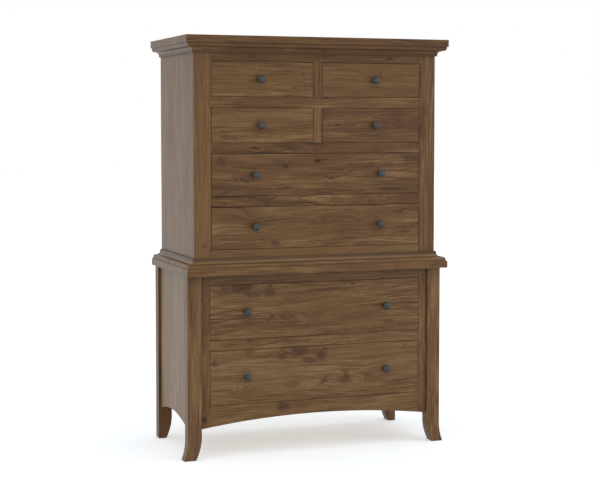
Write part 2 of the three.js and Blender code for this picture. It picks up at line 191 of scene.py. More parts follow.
# %% Soft lamps
def wide_lamp(name, direction, spread_degrees, irradiance):
    """A lamp far off in one direction, as wide as a silk or a window seems from the chest."""
    light = bpy.data.lights.new(name, "SUN")
    light.angle = math.radians(spread_degrees)
    light.energy = irradiance
    lamp = bpy.data.objects.new(name, light)
    lamp.rotation_euler = (-Vector(direction)).to_track_quat("-Z", "Y").to_euler()
    scene.collection.objects.link(lamp)


wide_lamp("overhead silk", (0.0, -0.5, 1.0), 100, 1.15)
wide_lamp("window on the right", (1.4, -0.85, 0.1), 32, 1.2)

# %% [markdown]
# ## Stained hardwood
# The outside is a knotty hardwood, planed, wiped with a brown stain and sprayed with satin lacquer.
# To the eye the stain gives a brown that is darker where the wood is soft, the red of the heartwood
# shows through it, and the lacquer gives one broad soft sheen. Seen close, the brown is three
# patterns in one: broad bands where the stain took more or less, the lines of the growth rings
# that run along the board and swing round the knots, and fine fibre.
# One picture of wood laid over everything would repeat and run the wrong way at the joints. So each
# board carries an attribute called grain, which says for every point how far it lies along the
# board, across it and into it, in metres, and all patterns are drawn in that space. The rings then
# turn with the board and no two boards match, with one material for all of them.
# Four more attributes tell boards and places apart. Figure is how lively the board is, and stain is
# how much lighter or darker than the middle tone it came out; on slopes that face up it is painted
# light too, and on some boards painted light and shade. Edge marks the rounded edges and the quirks,
# where stain and painted shade go on. The fourth paints shade in the fillet of a moulding and puts a
# dark line at its seam.

# %% Wood colours
# The edge colour is stain on rounded edges, and painted shade too in the quirks and fillets of mouldings.
BROWN_STAIN = {
    "tones": [(0.20, "#35210E"), (0.36, "#50361E"), (0.50, "#664A2B"), (0.64, "#765D3F"), (0.82, "#8F7555")],
    "red": "#583820",
    "rim": "#402415",
    "core": "#170E08",
    "edge": "#46301C",
}
CLEAR_MAPLE = {
    "tones": [(0.20, "#A98A60"), (0.36, "#C0A377"), (0.50, "#D0B68C"), (0.64, "#DAC49E"), (0.82, "#E6D5B4")],
    "red": "#C99D72",
    "rim": "#9A7A52",
    "core": "#6F5234",
    "edge": "#BFA278",
}

# %% Wood measures
# Real rings stand 1 to 3 mm apart and real pores are 0.2 mm wide. One pixel of the photograph is
# 4 mm of wood, so both are drawn as coarse as they need to show. A pore is about 22 mm long.
RING_PITCH = 5.5 * MM
PORE_WIDTH = 1.7 * MM
PORES_PER_METRE = 45.0
# The rings slope into the board, and wander off the straight line by some rings in slow waves,
# about 700 mm long and 170 mm wide.
RING_SLOPE = 0.7
RING_WANDER = 14.0
WANDER_PER_METRE = (1.4, 6.0, 6.0)
# Some places of a board are calm and some lively, each about 290 mm long and 90 mm wide.
CALM_PER_METRE = (3.5, 11.0, 11.0)
CALM_NOISE = (0.35, 0.65)
CALM_TO_LIVELY = (0.5, 1.4)
# Each kind of streak has its changes in a metre along the board, its changes in a ring's width, its
# place in the noise, and how fine its detail goes. So bands are about 500 mm long and 55 mm wide,
# streaks 220 by 12, lines 125 by 4 and the reds 380 by 25.
STREAKS = {
    "bands": (2.0, 0.10, 0.0, 2.0),
    "streaks": (4.5, 0.45, 3.0, 4.0),
    "lines": (8.0, 1.3, 6.0, 3.0),
    "reds": (2.6, 0.22, 9.0, 2.0),
}
STREAK_ROUGHNESS = 0.6
PATTERN_SHARES = {"bands": 0.50, "streaks": 0.45, "lines": 0.70, "pores": 0.30}
# Shares of the other colours: the red heartwood, the red round a knot, an edge, and the painted shade
# in a moulding's fillet with the dark line at its seam.
RED_NOISE = (0.46, 0.68)
RED_SHARE = 0.50
HALO_SWING = 0.2
HALO_SHARE = 0.50
EDGE_SHARE = 0.25
FILLET_SHADE_AND_SEAM_SHARE = 0.75
# The grain still shows in relief through the lacquer, and its pores make it a little rougher.
RELIEF_DEPTH = 0.45 * MM
RELIEF_SHARES = {"pores": 0.3, "lines": 0.6}
PORE_ROUGHNESS = 0.14
# A lacquer has an IOR of about 1.5 and a satin one a roughness of about 0.4. The sheen on this chest
# is fainter, so the IOR is matched to it.
LACQUER_IOR = 1.30
SATIN = 0.38
PLANED = 0.55


# %% Helpers for patterns
def noise_in(tree, space, per_metre, detail, roughness=0.5, take=0):
    """A noise stretched or squeezed on each axis of its space."""
    space = add(tree, "VectorMath", {0: space, 1: per_metre}, operation="MULTIPLY")
    sockets = {"Vector": space, "Scale": 1.0, "Detail": detail, "Roughness": roughness}
    return add(tree, "TexNoise", sockets, take)


def fill_ramp(output, stops, blend="LINEAR"):
    """Gives a colour ramp its stops, each a place and a hex colour or three plain numbers."""
    bands = output.node.color_ramp
    bands.interpolation = blend
    while len(bands.elements) < len(stops):
        bands.elements.new(0.5)
    for element, (place, colour) in zip(bands.elements, stops):
        element.position = place
        element.color = linear(colour) if isinstance(colour, str) else (*colour, 1.0)
    return output


# %% [markdown]
# ### Knots
# A knot is a branch cut across. The rings swing round it, and it has a dark rim of bark and often
# a darker core. One section, by distance from the middle, tells all three, and each knot stretches
# it to its own ellipse. The ellipse is made ragged first, because a clean one looks stamped.

# %% One knot
# How far the knot swings the rings aside, how dark its bark rim is, and how dark its core is.
KNOT_SECTION = [
    (0.00, (1.00, 0.0, 1.0)),
    (0.24, (0.80, 0.2, 0.9)),
    (0.36, (0.58, 1.0, 0.2)),
    (0.50, (0.38, 0.5, 0.0)),
    (0.75, (0.12, 0.2, 0.0)),
    (1.00, (0.00, 0.0, 0.0)),
]
# The rings swing out to three times the size of the knot itself, and it goes right through the board.
FIELD = 3.0
ANY_DEPTH = 1000.0


def knot_at(tree, grain, before, place, size, turn_degrees, weights):
    """Adds one knot to the three channels that come before it."""
    seen = add(tree, "Mapping", {
        "Vector": grain,
        "Location": (*place, 0),
        "Rotation": (0, 0, math.radians(turn_degrees)),
        "Scale": (size[0] * FIELD, size[1] * FIELD, ANY_DEPTH),
    }, vector_type="TEXTURE")
    far = add(tree, "VectorMath", {0: seen}, "Value", operation="LENGTH")
    section = fill_ramp(add(tree, "ValToRGB", {"Fac": far}), KNOT_SECTION, "EASE")
    return add(tree, "VectorMath", {0: section, 1: weights, 2: before}, operation="MULTIPLY_ADD")


# %% Strewn knots
NET_CELL = (360 * MM, 110 * MM)
PIN_KNOT = (10 * MM, 6 * MM)
PIN_KNOT_WEIGHTS = (5.0, 0.6, 0.6)
EMPTY_CELLS = (0.70, 0.74)
FAINTEST = 0.3


def pin_knots(tree, grain):
    """Small knots strewn at random, one in some of the cells of a wide net."""
    net_scale = (1 / NET_CELL[0], 1 / NET_CELL[1], 0)
    cells = add(tree, "VectorMath", {0: grain, 1: net_scale}, operation="MULTIPLY")
    net = add(tree, "TexVoronoi", {"Vector": cells, "Scale": 1.0}, voronoi_dimensions="2D").node
    offset = add(tree, "VectorMath", {0: cells, 1: net.outputs["Position"]}, operation="SUBTRACT")
    stretch = (NET_CELL[0] / PIN_KNOT[0] / FIELD, NET_CELL[1] / PIN_KNOT[1] / FIELD, 0)
    offset = add(tree, "VectorMath", {0: offset, 1: stretch}, operation="MULTIPLY")
    far = add(tree, "VectorMath", {0: offset}, "Value", operation="LENGTH")
    section = fill_ramp(add(tree, "ValToRGB", {"Fac": far}), KNOT_SECTION, "EASE")
    chance = add(tree, "SeparateColor", {0: net.outputs["Color"]}).node.outputs
    present = add(tree, "MapRange", {0: chance[0], 1: EMPTY_CELLS[0], 2: EMPTY_CELLS[1]})
    darkness = {0: chance[1], 1: 1.0 - FAINTEST, 2: FAINTEST}
    darkness = add(tree, "Math", darkness, operation="MULTIPLY_ADD")
    strength = add(tree, "Math", {0: present, 1: darkness}, operation="MULTIPLY")
    weights = {0: PIN_KNOT_WEIGHTS, "Scale": strength}
    weights = add(tree, "VectorMath", weights, operation="SCALE")
    return add(tree, "VectorMath", {0: section, 1: weights}, operation="MULTIPLY")


# %% All knots of a board
# The outline of a knot is pushed about by bumps some 45 mm long and 18 mm wide.
RAGGED_PER_METRE = (22, 55, 55)
RAGGED_REACH = (34 * MM, 16 * MM, 0)
NO_KNOTS = (0, 0, 0)


def knot_channels(tree, grain, knots, strewn):
    """The swing of the rings, the bark rims and the cores of all knots together."""
    ragged = noise_in(tree, grain, RAGGED_PER_METRE, 3.0, take="Color")
    ragged = add(tree, "VectorMath", {0: ragged, 1: (0.5, 0.5, 0.5)}, operation="SUBTRACT")
    uneven = {0: ragged, 1: RAGGED_REACH, 2: grain}
    uneven = add(tree, "VectorMath", uneven, operation="MULTIPLY_ADD")
    knotted = pin_knots(tree, uneven) if strewn else NO_KNOTS
    for place, size, turn, weights in knots:
        knotted = knot_at(tree, uneven, knotted, place, size, turn, weights)
    return add(tree, "SeparateXYZ", {0: knotted}).node.outputs


# %% [markdown]
# ### From rings to colour
# The rings are counted from the board's edge, in ring widths, and every streak is a noise that is
# long along the board and changes from ring to ring. The streaks and the pores are added up to one
# tone, the tone picks a brown from dark to light, and the reds, knots, edges and hollows are laid
# over it one by one.

# %% Rings and tone
def ring_count(tree, grain, swing):
    """How many rings lie between the board's edge and a point, swung aside by the knots."""
    across, depth = add(tree, "SeparateXYZ", {0: grain}).node.outputs[1:]
    rings = add(tree, "Math", {0: depth, 1: RING_SLOPE, 2: across}, operation="MULTIPLY_ADD")
    rings = add(tree, "Math", {0: rings, 1: RING_PITCH}, operation="DIVIDE")
    wander = noise_in(tree, grain, WANDER_PER_METRE, 1.5)
    rings = add(tree, "Math", {0: wander, 1: RING_WANDER, 2: rings}, operation="MULTIPLY_ADD")
    return add(tree, "Math", {0: swing, 1: rings}, operation="ADD")


def wood_patterns(tree, grain, rings):
    """The streaks between the rings, and the pores, each from zero to one."""
    along = add(tree, "SeparateXYZ", {0: grain})
    patterns = {}
    for kind, (per_metre, per_ring, seed, detail) in STREAKS.items():
        space = add(tree, "CombineXYZ", {0: along, 1: rings, 2: seed})
        patterns[kind] = noise_in(tree, space, (per_metre, per_ring, 1), detail, STREAK_ROUGHNESS)
    pores_per_metre = (PORES_PER_METRE, 1 / PORE_WIDTH, 1 / PORE_WIDTH)
    patterns["pores"] = noise_in(tree, grain, pores_per_metre, 2.0)
    return patterns


def wood_tone(tree, grain, patterns, figure, stain):
    """Where between the darkest and the lightest tone a point lies."""
    tone = 0.0
    for kind, share in PATTERN_SHARES.items():
        tone = add(tree, "Math", {0: patterns[kind], 1: share, 2: tone}, operation="MULTIPLY_ADD")
    middle = 0.5 * sum(PATTERN_SHARES.values())
    spread = add(tree, "Math", {0: tone, 1: middle}, operation="SUBTRACT")
    calm = noise_in(tree, grain, CALM_PER_METRE, 1.0)
    calm = {0: calm, 1: CALM_NOISE[0], 2: CALM_NOISE[1], 3: CALM_TO_LIVELY[0], 4: CALM_TO_LIVELY[1]}
    calm = add(tree, "MapRange", calm)
    spread = add(tree, "Math", {0: spread, 1: calm}, operation="MULTIPLY")
    base = add(tree, "Math", {0: stain, 1: 0.5}, operation="ADD")
    return add(tree, "Math", {0: spread, 1: figure, 2: base}, operation="MULTIPLY_ADD")


# %% Wood material
def wood(name, palette, roughness, knots=(), strewn=True):
    """A wood from its colours and the roughness of its finish, with named knots, strewn ones or none."""
    material, tree = new_material(name)
    grain = add(tree, "Attribute", take="Vector", attribute_name="grain")
    figure, stain, edge, fillet_shade_and_seam = [
        add(tree, "Attribute", take="Fac", attribute_name=mark)
        for mark in ("figure", "stain", "edge", "fillet_shade_and_seam")
    ]
    swing, rim, core = knot_channels(tree, grain, knots, strewn)
    patterns = wood_patterns(tree, grain, ring_count(tree, grain, swing))
    tone = wood_tone(tree, grain, patterns, figure, stain)
    colour = fill_ramp(add(tree, "ValToRGB", {"Fac": tone}), palette["tones"])
    reds = {0: patterns["reds"], 1: RED_NOISE[0], 2: RED_NOISE[1], 4: RED_SHARE}
    reds = add(tree, "MapRange", reds)
    halo = add(tree, "Math", {0: swing, 1: HALO_SWING}, operation="MULTIPLY", use_clamp=True)
    # The edge colour is stain on rounded edges, stain and painted shade in quirks, and painted shade in
    # fillets.
    for over, mark, share in (
        ("red", reds, figure),
        ("red", halo, HALO_SHARE),
        ("rim", rim, 1.0),
        ("core", core, 1.0),
        ("edge", edge, EDGE_SHARE),
        ("edge", fillet_shade_and_seam, FILLET_SHADE_AND_SEAM_SHARE),
    ):
        amount = add(tree, "Math", {0: mark, 1: share}, operation="MULTIPLY", use_clamp=True)
        layers = {0: amount, 6: colour, 7: linear(palette[over])}
        colour = add(tree, "Mix", layers, 2, data_type="RGBA")
    height = patterns["streaks"]
    for kind, share in RELIEF_SHARES.items():
        height = add(tree, "Math", {0: patterns[kind], 1: share, 2: height}, operation="MULTIPLY_ADD")
    bump = add(tree, "Bump", {"Height": height, "Strength": 1.0, "Distance": RELIEF_DEPTH})
    rough = {0: patterns["pores"], 1: PORE_ROUGHNESS, 2: roughness - PORE_ROUGHNESS / 2}
    rough = add(tree, "Math", rough, operation="MULTIPLY_ADD")
    surface = {"Base Color": colour, "Roughness": rough, "IOR": LACQUER_IOR, "Normal": bump}
    add(tree, "OutputMaterial", {"Surface": add(tree, "BsdfPrincipled", surface)})
    return material


# The maple inside is planed and sealed but not polished. It is pale, calm, free of knots and almost
# matt, as the inside of a good drawer is.
STAINED_WOOD = wood("knotty hardwood, brown stain, satin lacquer", BROWN_STAIN, SATIN)
INSIDE_WOOD = wood("planed maple, clear sealer", CLEAR_MAPLE, PLANED, strewn=False)
print("wood materials:", STAINED_WOOD.name, "and", INSIDE_WOOD.name)

# %% [markdown]
# ## The knots that give this chest its face
# A real chest is known by its own boards. The table names each knot, bark mark and curl that shows
# on the front: its place along and across the board and its size in millimetres, its turn in
# degrees, and how much it swings the rings, darkens its rim and darkens its core. Knots strewn at
# random would look as real, and do for the boards that aren't in the table, but a front of them
# would belong to another chest.

# %% Knots by board
BOARD_KNOTS = {
    "drawer_3_front": [
        ((-1, 1167), (11, 8), 0, (5, 0.6, 1)),
        ((23, 1173), (14, 3), -5, (0, 0, 0.55)),
        ((-139, 1149), (9, 7), 0, (4, 0.5, 0.7)),
        ((-403, 1164), (12, 8), 0, (5, 0.8, 0.25)),
        ((-342, 1097), (10, 3), -45, (0, 0.3, 0.6)),
        ((-313, 1093), (10, 3.5), -45, (0, 0.3, 0.85)),
        ((-295, 1086), (9, 4), -45, (0, 0.3, 0.7)),
        ((61, 1098), (16, 2.5), 5, (2, 0.2, 0.7)),
        ((191, 1100), (20, 2.5), 0, (1, 0.2, 0.5)),
        ((240, 1095), (14, 2.5), 0, (0, 0, 0.5)),
        ((18, 1039), (22, 3.5), -3, (4, 0.5, 0.35)),
        ((-391, 1043), (14, 3), 30, (2, 0.2, 0.5)),
    ],
    "drawer_frame_row_3": [
        ((-222, 1016), (18, 8), 0, (5, 0.7, 0.4)),
        ((117, 1001), (60, 10), 0, (8, 0, 0)),
        ((292, 1001), (60, 10), 8, (9, 0.2, 0)),
        ((404, 1007), (30, 8), 10, (7, 0.2, 0)),
    ],
    "drawer_frame_row_2": [
        ((-264, 1219), (16, 5), 0, (3, 0.5, 0.8)),
        ((-126, 1223), (30, 2), -3, (0, 0, 0.45)),
        ((-126, 1211), (30, 2), 3, (3, 0.2, 0.35)),
        ((-3, 1207), (14, 5), 0, (3, 0.4, 0.1)),
        ((253, 1209), (16, 5), 0, (3, 0.3, 0.2)),
    ],
    "drawer_4_front": [
        ((-180, 844), (9, 8), 0, (4, 0.5, 0.35)),
        ((-276, 959), (25, 12), 0, (6, 0.1, 0)),
        ((-1, 928), (26, 7), 0, (5, 0.25, 0.05)),
        ((178, 927), (14, 10), 0, (4, 0.15, 0.15)),
        ((346, 957), (25, 4), -10, (2, 0.2, 0.4)),
        ((148, 968), (30, 3), 0, (0, 0, 0.3)),
        ((270, 888), (45, 3.5), 2, (1, 0.2, 0.35)),
        ((83, 885), (30, 4), 0, (1, 0.1, 0.15)),
        ((-423, 834), (12, 6), 0, (3, 0.3, 0.3)),
    ],
    "drawer_5_front": [
        ((-392, 660), (17, 12), 0, (4, 0.6, 0.35)),
        ((-339, 670), (15, 12), 0, (5, 0.8, 0.3)),
        ((-293, 672), (20, 13), 10, (5, 0.6, 0.5)),
        ((-269, 639), (17, 7), 0, (3, 0.8, 0.05)),
        ((-194, 675), (11, 4), 45, (0, 0, 0.6)),
        ((-202, 652), (14, 12), 0, (4, 0.6, 0.45)),
        ((-194, 549), (14, 6), 50, (3, 0.3, 0.55)),
        ((-175, 546), (12, 3), 50, (0, 0, 0.35)),
        ((-127, 553), (22, 12), 0, (6, 0.45, 0.25)),
        ((-21, 544), (26, 9), 0, (5, 0.15, 0)),
        ((169, 539), (40, 9), 0, (5, 0.3, 0)),
        ((319, 507), (30, 5), -8, (2, 0.2, 0.35)),
        ((154, 671), (5, 4), 0, (2, 0.3, 0.7)),
        ((87, 478), (50, 5), 4, (2, 0.4, 0.15)),
    ],
    "drawer_6_front": [
        ((-428, 377), (9, 7), 0, (3, 0.5, 0.4)),
        ((-285, 412), (12, 9), 20, (4, 0.4, 0.25)),
        ((-148, 400), (9, 12), 0, (4, 0.7, 0.2)),
        ((-72, 407), (24, 13), 0, (5, 0.6, 0.55)),
        ((-33, 367), (15, 6), 0, (3, 0.8, 0.25)),
        ((31, 409), (11, 4), 45, (0, 0, 0.5)),
        ((18, 384), (14, 12), 0, (4, 0.6, 0.5)),
        ((26, 281), (14, 6), 45, (3, 0.3, 0.55)),
        ((44, 280), (12, 3), 45, (0, 0, 0.35)),
        ((121, 287), (15, 12), 0, (6, 0.5, 0.4)),
        ((239, 276), (24, 9), 0, (6, 0.15, 0)),
        ((381, 403), (7, 6), 0, (3, 0.3, 0.5)),
        ((-106, 274), (15, 7), 0, (4, 0.3, 0.1)),
        ((279, 212), (40, 4), 4, (1, 0.2, 0.3)),
        ((-322, 253), (26, 12), 0, (6, 0.1, 0)),
    ],
    "drawer_2_left_front": [
        ((-366, 1261), (18, 5), 0, (4, 0.5, 0.1)),
        ((-239, 1369), (90, 5), 0, (2, 0.45, 0.05)),
    ],
    "drawer_2_right_front": [
        ((85, 1307), (14, 3), 0, (2, 0.3, 0.85)),
        ((128, 1309), (14, 6), 0, (5, 0.45, 0.05)),
        ((53, 1304), (14, 2.5), 0, (0, 0, 0.3)),
        ((78, 1256), (22, 3), 0, (1, 0.1, 0.3)),
        ((350, 1322), (40, 9), 0, (4, 0.3, 0)),
    ],
    "drawer_1_left_front": [
        ((-60, 1506), (5, 4), 0, (2, 0.3, 0.45)),
        ((-239, 1522), (6, 4), 0, (0, 0, 0.4)),
    ],
    "drawer_1_right_front": [
        ((270, 1513), (9, 3), 30, (1, 0.1, 0.45)),
    ],
    "upper_top_rail": [
        ((309, 1575), (12, 6), 0, (4, 0.4, 0.65)),
        ((-276, 1575), (20, 6), 0, (3, 0.3, 0.15)),
        ((48, 1583), (25, 4), 0, (2, 0.3, 0.25)),
    ],
    "apron": [
        ((-143, 190), (16, 12), 0, (5, 0.6, 0.5)),
        ((-67, 192), (20, 8), 0, (4, 0.3, 0.1)),
    ],
    "upper_stile_right": [
        ((1334, 455), (35, 7), 0, (6, 0.5, 0.3)),
        ((1281, 449), (20, 4), 8, (2, 0.4, 0.3)),
        ((1375, 469), (16, 6), -12, (4, 0.3, 0.1)),
    ],
    "lower_stile_left": [
        ((157, -469), (10, 7), 0, (3, 0.7, 0.9)),
        ((473, -469), (26, 8), 0, (5, 0.4, 0.05)),
        ((628, -465), (30, 7), 0, (5, 0.35, 0.05)),
    ],
    "upper_stile_left": [
        ((839, -473), (9, 5), 0, (2, 0.2, 0.35)),
    ],
}


def own_shift(name):
    """Each board is cut from another place in the tree, always the same one for the same name."""
    draw = random.Random(name)
    return Vector((draw.uniform(0, 40), draw.uniform(0, 40), draw.uniform(0, 4)))


def stained_wood_for(node, shift):
    """The shared stained wood, or one of its own for a board with named knots."""
    if node not in BOARD_KNOTS:
        return STAINED_WOOD
    knots = []
    for place, size, turn, weights in BOARD_KNOTS[node]:
        centre = (place[0] * MM + shift.x, place[1] * MM + shift.y)
        knots.append((centre, (size[0] * MM, size[1] * MM), turn, weights))
    return wood(f"knotty hardwood of {node}", BROWN_STAIN, SATIN, knots, strewn=False)


print("boards with knots of their own:", len(BOARD_KNOTS))

# %% [markdown]
# ## Boards with eased edges
# A joiner breaks every sharp edge with a few strokes of sandpaper, and that thin rounding is what
# catches the light along a real board. The exact solids have dead sharp edges. So each board is a
# copy of its solid: the loose triangles are merged, flat triangles are dissolved into whole faces,
# and a bevel of about a millimetre rounds the sharp edges. A bevel modifier could do this too, but
# an operator also hands back the new faces, and these get the edge attribute.

# %% Round the edges of a solid
AXES = {"x": 0, "y": 1, "z": 2}
SAME_POINT = 0.01 * MM
ON_PLANE = 0.001 * MM
FLAT_ANGLE = math.radians(1)
SHARP_ANGLE = math.radians(28)
# How far each kind of edge is rounded. It is so little that two steps make it look round.
RAIL_EASE = 0.8 * MM
SIDE_EASE = 1.0 * MM
FRONT_EASE = 1.2 * MM
INSIDE_EASE = 0.5 * MM
THIN_EASE = 0.3 * MM
EASE_STEPS = 2
# A quirk is the narrow step in a moulded edge. Its faces get the edge colour as stain and painted
# shade, and they are under this wide.
QUIRK_REACH = 6 * MM


def merged_copy(node):
    """A copy of a node's solid, as whole flat faces that share their corners."""
    bm = bmesh.new()
    bm.from_mesh(frame["nodes"][node].data)
    bmesh.ops.remove_doubles(bm, verts=bm.verts, dist=SAME_POINT)
    bmesh.ops.dissolve_limit(bm, angle_limit=FLAT_ANGLE, verts=bm.verts, edges=bm.edges)
    return bm


def ease_edges(bm, width, quirk_stain_and_shade=0.0):
    """Rounds sharp edges. The edge attribute marks new strips, and a quirk's stain and painted shade as
    asked.
    """
    layer = bm.faces.layers.float.new("edge")
    # The faces of a quirk get the edge colour, as stain and painted shade.
    for edge in bm.edges:
        if quirk_stain_and_shade and edge.is_manifold and edge.calc_face_angle_signed() < -SHARP_ANGLE:
            for face in edge.link_faces:
                if face.calc_area() / edge.calc_length() < QUIRK_REACH:
                    face[layer] = quirk_stain_and_shade
    sharp = [e for e in bm.edges if e.is_manifold and e.calc_face_angle() > SHARP_ANGLE]
    made = bmesh.ops.bevel(
        bm, geom=sharp, offset=width, offset_type="OFFSET", affect="EDGES", segments=EASE_STEPS,
        profile=0.5, material=-1, clamp_overlap=True,
    )
    for face in made["faces"]:
        face[layer] = max(face[layer], 1.0)


# %% [markdown]
# ### Grain in a board
# A wide board is glued up from strips, because a single one would warp. So a wide face is scored at
# each glue line, and each strip takes its own place in the tree and its own tone of stain.
# The three letters of a grain name the frame axes that run along the board, across its face and
# into it. End grain is sanded finer so that it doesn't drink too much stain, so it comes out lighter,
# and the slopes that face up are painted lighter, for the light that falls on them from above.

# %% Lay the grain
STRIP_TONES = (0.03, -0.02, 0.01, -0.03, 0.02)
# A face is end grain when its normal lies this far along the grain.
END_GRAIN_TONE = 0.08
END_GRAIN_TURN = 0.9
# A slope is painted lighter when its normal points up this far, which leaves out the flat tops.
PAINTED_TOP_LIGHT_TONE = 0.07
SLOPES_WITH_PAINTED_TOP_LIGHT = (0.2, 0.95)


def glue_lines(bm, across, strip_width):
    """Scores a wide board where its strips are glued, and gives the places of the glue lines."""
    axis = AXES[across]
    reach = [v.co[axis] for v in bm.verts]
    low, high = min(reach), max(reach)
    count = max(1, round((high - low) / strip_width)) if strip_width else 1
    lines = [low + (high - low) * k / count for k in range(1, count)]
    for place in lines:
        point, way = Vector(), Vector()
        point[axis], way[axis] = place, 1.0
        bmesh.ops.bisect_plane(
            bm, geom=bm.verts[:] + bm.edges[:] + bm.faces[:], dist=ON_PLANE,
            plane_co=point, plane_no=way,
        )
    return lines


def lay_grain(bm, name, grain, figure, stain, strip_width):
    """Writes each corner's place along, across and into its strip, moved by the strip's own shift."""
    lines = glue_lines(bm, grain[1], strip_width)
    shifts = [own_shift(name)] + [own_shift(f"{name} strip {k}") for k in range(len(lines))]
    stains = [stain] + [stain + STRIP_TONES[k % len(STRIP_TONES)] for k in range(len(lines))]
    places = bm.loops.layers.float_vector.new("grain")
    liveliness = bm.faces.layers.float.new("figure")
    stain_and_painted_light = bm.faces.layers.float.new("stain")
    along, across, depth = (AXES[letter] for letter in grain)
    for face in bm.faces:
        strip = sum(place < face.calc_center_median()[across] for place in lines)
        face[liveliness] = figure
        face[stain_and_painted_light] = stains[strip]
        if abs(face.normal[along]) > END_GRAIN_TURN:
            face[stain_and_painted_light] += END_GRAIN_TONE
        # A slope that faces up gets painted light from above.
        elif SLOPES_WITH_PAINTED_TOP_LIGHT[0] < face.normal.z < SLOPES_WITH_PAINTED_TOP_LIGHT[1]:
            face[stain_and_painted_light] += PAINTED_TOP_LIGHT_TONE
        for loop in face.loops:
            co = loop.vert.co
            loop[places] = Vector((co[along], co[across], co[depth])) + shifts[strip]


# %% [markdown]
# ### One finished piece
# Every piece is tied to the body that it moves with and takes its finish. The solid that it stands
# for stays as it is and is only hidden. Smooth shading alone would make a flat board look puffed up,
# so the normals are weighted by the size of the faces: the broad faces stay flat, and only the
# narrow rounding catches the light.

# %% Finish a piece
def finish_piece(bm, name, material, body, node):
    """Makes the object, shades it smooth, hangs it on its body and hides the solid that it stands for."""
    mesh = bpy.data.meshes.new(name)
    bm.to_mesh(mesh)
    bm.free()
    mesh.materials.append(material)
    mesh.shade_smooth()
    piece = bpy.data.objects.new(name, mesh)
    scene.collection.objects.link(piece)
    even = piece.modifiers.new("even shading", "WEIGHTED_NORMAL")
    even.keep_sharp = True
    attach(piece, body)
    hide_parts(node)
    return piece


# %% [markdown]
# ### How each board took the stain, with painted light and shade on some
# Two boards from one tree never look the same: one is lively and one is plain, one drinks the stain
# and one hardly takes it. The first number is how strong the figure is, and the second is how much
# lighter or, below zero, darker the board is than the middle tone. They were matched to the
# photograph board by board, so on some boards the second number is painted light and shade as well.

# %% Boards with a look of their own
PLAIN_LOOK = (0.6, 0.0)
BOARD_LOOKS_AND_PAINTED_LIGHT = {
    # Painted shade: the top board, the cornice front and the top rail are darker for the shade at the top.
    "top_board": (1.0, -0.09),
    "waist_board": (0.8, -0.055),
    "cornice_moulding": (0.8, 0.0),
    "cornice_moulding_front": (0.8, -0.07),
    # Painted light: the waist moulding is lighter for the light from above.
    "waist_moulding": (0.8, 0.045),
    "upper_top_rail": (0.7, -0.12),
    "upper_stile_left": (0.6, -0.015),
    "upper_stile_right": (1.2, -0.06),
    "divider_row_1": (0.8, -0.11),
    "divider_row_2": (0.8, -0.06),
    "drawer_frame_row_1": (1.05, -0.05),
    "drawer_frame_row_2": (1.3, -0.09),
    "drawer_frame_row_3": (1.3, -0.13),
    "drawer_frame_row_5": (1.0, 0.0),
    "drawer_1_left_front": (1.0, -0.04),
    "drawer_1_right_front": (0.65, -0.04),
    "drawer_2_left_front": (0.8, 0.0),
    "drawer_2_right_front": (0.95, -0.06),
    "drawer_3_front": (1.0, -0.08),
    "drawer_4_front": (1.12, -0.04),
    "drawer_5_front": (1.15, -0.01),
    "drawer_6_front": (1.0, 0.03),
    "leg_front_left": (0.9, -0.02),
    "leg_front_right": (1.2, 0.02),
    "lower_stile_left": (0.8, -0.05),
    "lower_stile_right": (0.8, -0.04),
    "lower_top_rail": (0.8, -0.07),
    "apron": (0.85, 0.0),
    # Painted shade: the rear legs are darker for the shade under the case.
    "leg_rear_left": (0.7, -0.06),
    "leg_rear_right": (0.7, -0.06),
    # Painted light: the lower sides are lighter for the light that the white floor throws up on them.
    "upper_side_left": (1.0, 0.03),
    "lower_side_left": (0.75, 0.14),
    "upper_side_right": (1.0, 0.03),
    "lower_side_right": (0.75, 0.14),
}


def stained(bm, node, part, grain, ease, quirk_stain_and_shade=0.0, body="case", strip_width=0.0):
    """Finishes a piece of stained hardwood that stands for a solid, or for a part of one."""
    name = f"{node}_{part}"
    look = BOARD_LOOKS_AND_PAINTED_LIGHT.get(name, BOARD_LOOKS_AND_PAINTED_LIGHT.get(node, PLAIN_LOOK))
    ease_edges(bm, ease, quirk_stain_and_shade=quirk_stain_and_shade)
    lay_grain(bm, name, grain, *look, strip_width)
    return finish_piece(bm, name, stained_wood_for(node, own_shift(name)), body, node)


def inside(bm, node, part, grain, ease=INSIDE_EASE, body="case", strip_width=0.0):
    """Finishes a piece of pale inside wood."""
    name = f"{node}_{part}"
    ease_edges(bm, ease)
    lay_grain(bm, name, grain, *PLAIN_LOOK, strip_width)
    return finish_piece(bm, name, INSIDE_WOOD, body, node)


# %% [markdown]
# ## Outside of the two cases
# Sides, stiles and legs stand with their grain upright, and rails and the two wide boards lie with
# it level. Legs are eased the most, because they are touched and kicked, and the stiles and rails
# round a drawer the least, so that the gap stays crisp. The two wide boards have a moulded edge,
# and the quirks in it keep some stain and get painted shade.

# %% Outside boards
STRIP_WIDTH = 110 * MM
for side in ("left", "right"):
    for case in ("upper", "lower"):
        node = f"{case}_side_{side}"
        stained(merged_copy(node), node, "board", "zyx", SIDE_EASE, strip_width=STRIP_WIDTH)
    for part, ease_mm in (("upper_stile", 1.5), ("lower_stile", 0.8), ("leg_front", 2.0), ("leg_rear", 2.0)):
        node = f"{part}_{side}"
        stained(merged_copy(node), node, "board", "zxy", ease_mm * MM)
for node in ("upper_top_rail", "upper_bottom_rail", "lower_top_rail", "apron"):
    stained(merged_copy(node), node, "board", "xzy", RAIL_EASE)
for node in ("divider_row_1", "divider_row_2"):
    stained(merged_copy(node), node, "board", "zxy", RAIL_EASE)
for node, quirk_stain_and_shade in (("top_board", 4.0), ("waist_board", 1.6)):
    stained(merged_copy(node), node, "board", "xyz", FRONT_EASE, quirk_stain_and_shade, strip_width=STRIP_WIDTH)

